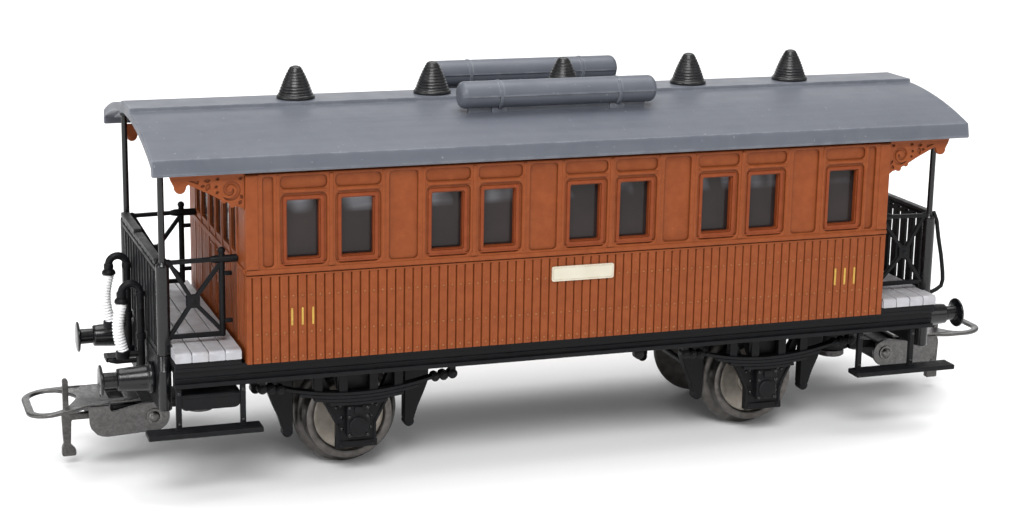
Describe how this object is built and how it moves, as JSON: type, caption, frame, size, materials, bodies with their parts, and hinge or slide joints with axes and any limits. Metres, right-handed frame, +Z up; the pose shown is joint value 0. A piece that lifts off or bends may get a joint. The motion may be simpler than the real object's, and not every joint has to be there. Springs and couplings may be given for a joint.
{
  "type": "model passenger coach",
  "caption": "Model railway coach with open end platforms, arched roof with ventilators and tanks, panelled body, sprung-look running gear, buffers and loop couplers.",
  "frame": {"origin": "on the track plane at the bottom of the wheel flanges, below the middle of the coach", "axes": "+X along the coach towards the right end, +Y across towards the far side, +Z up"},
  "size_m": [0.1308, 0.0368, 0.0486],
  "materials": {
    "body_plastic": "satin orange-brown moulded plastic with fine grain",
    "roof_plastic": "satin mid-grey moulded plastic",
    "black_plastic": "satin to glossy black moulded plastic",
    "buffer_plastic": "glossy black moulded plastic",
    "floor_plastic": "silver-grey plastic",
    "glazing": "dark smoky clear plastic",
    "ballast_steel": "plain steel strip",
    "axle_steel": "bright turned steel",
    "wheel_metal": "dull nickelled metal",
    "coupler_steel": "blackened steel pressing",
    "rivet_steel": "bright steel",
    "hose_plastic": "white soft plastic",
    "nameboard_paint": "cream printed plate"
  },
  "bodies": {
    "coach": {"chassis": "black_plastic", "platform_floor_left": "floor_plastic", "platform_floor_right": "floor_plastic", "ballast_plate": "ballast_steel", "body_shell": "body_plastic", "glazing_near": "glazing", "glazing_far": "glazing", "glazing_ends": "glazing", "roof_shell": "roof_plastic", "roof_tank_near": "roof_plastic", "roof_tank_far": "roof_plastic", "roof_vents": "black_plastic", "bracket_left_near": "body_plastic", "bracket_left_far": "body_plastic", "bracket_right_near": "body_plastic", "bracket_right_far": "body_plastic", "end_railing_left": "black_plastic", "end_railing_right": "black_plastic", "side_gate_left_near": "black_plastic", "side_gate_left_far": "black_plastic", "side_gate_right_near": "black_plastic", "side_gate_right_far": "black_plastic", "buffer_left_near": "buffer_plastic", "buffer_left_far": "buffer_plastic", "buffer_right_near": "buffer_plastic", "buffer_right_far": "buffer_plastic", "axleguard_left_near": "black_plastic", "axleguard_left_far": "black_plastic", "axleguard_right_near": "black_plastic", "axleguard_right_far": "black_plastic", "leaf_spring_left_near": "black_plastic", "leaf_spring_left_far": "black_plastic", "leaf_spring_right_near": "black_plastic", "leaf_spring_right_far": "black_plastic", "brake_gear_left": "black_plastic", "brake_gear_right": "black_plastic", "footstep_left_near": "black_plastic", "footstep_left_far": "black_plastic", "footstep_right_near": "black_plastic", "footstep_right_far": "black_plastic", "standpipe_near": "black_plastic", "standpipe_far": "black_plastic", "hose_near": "hose_plastic", "hose_far": "hose_plastic", "pivot_screws": "rivet_steel", "nameboards": "nameboard_paint"},
    "wheelset_left": {"axle_left": "axle_steel", "wheel_left_near": "wheel_metal", "wheel_left_far": "wheel_metal"},
    "coupler_left": {"coupler_block_left": "black_plastic", "coupler_hook_left": "coupler_steel", "coupler_rivet_left": "rivet_steel"},
    "loop_left": {"coupler_loop_left": "coupler_steel"},
    "wheelset_right": {"axle_right": "axle_steel", "wheel_right_near": "wheel_metal", "wheel_right_far": "wheel_metal"},
    "coupler_right": {"coupler_block_right": "black_plastic", "coupler_hook_right": "coupler_steel", "coupler_rivet_right": "rivet_steel"},
    "loop_right": {"coupler_loop_right": "coupler_steel"}
  },
  "joints": [
    {"name": "wheelset_left_spin", "type": "hinge", "parent": "coach", "child": "wheelset_left", "pos_m": [-0.0273, 0, 0.0066], "axis": [0, 1, 0], "continuous": true},
    {"name": "coupler_left_swivel", "type": "hinge", "parent": "coach", "child": "coupler_left", "pos_m": [-0.044, 0, 0.0079], "axis": [0, 0, 1], "range_deg": [-12, 12]},
    {"name": "loop_left_lift", "type": "hinge", "parent": "coupler_left", "child": "loop_left", "pos_m": [-0.0503, 0, 0.0068], "axis": [0, 1, 0], "range_deg": [0, 18]},
    {"name": "wheelset_right_spin", "type": "hinge", "parent": "coach", "child": "wheelset_right", "pos_m": [0.0273, 0, 0.0066], "axis": [0, 1, 0], "continuous": true},
    {"name": "coupler_right_swivel", "type": "hinge", "parent": "coach", "child": "coupler_right", "pos_m": [0.044, 0, 0.0079], "axis": [0, 0, 1], "range_deg": [-12, 12]},
    {"name": "loop_right_lift", "type": "hinge", "parent": "coupler_right", "child": "loop_right", "pos_m": [0.0503, 0, 0.0068], "axis": [0, -1, 0], "range_deg": [0, 18]}
  ]
}
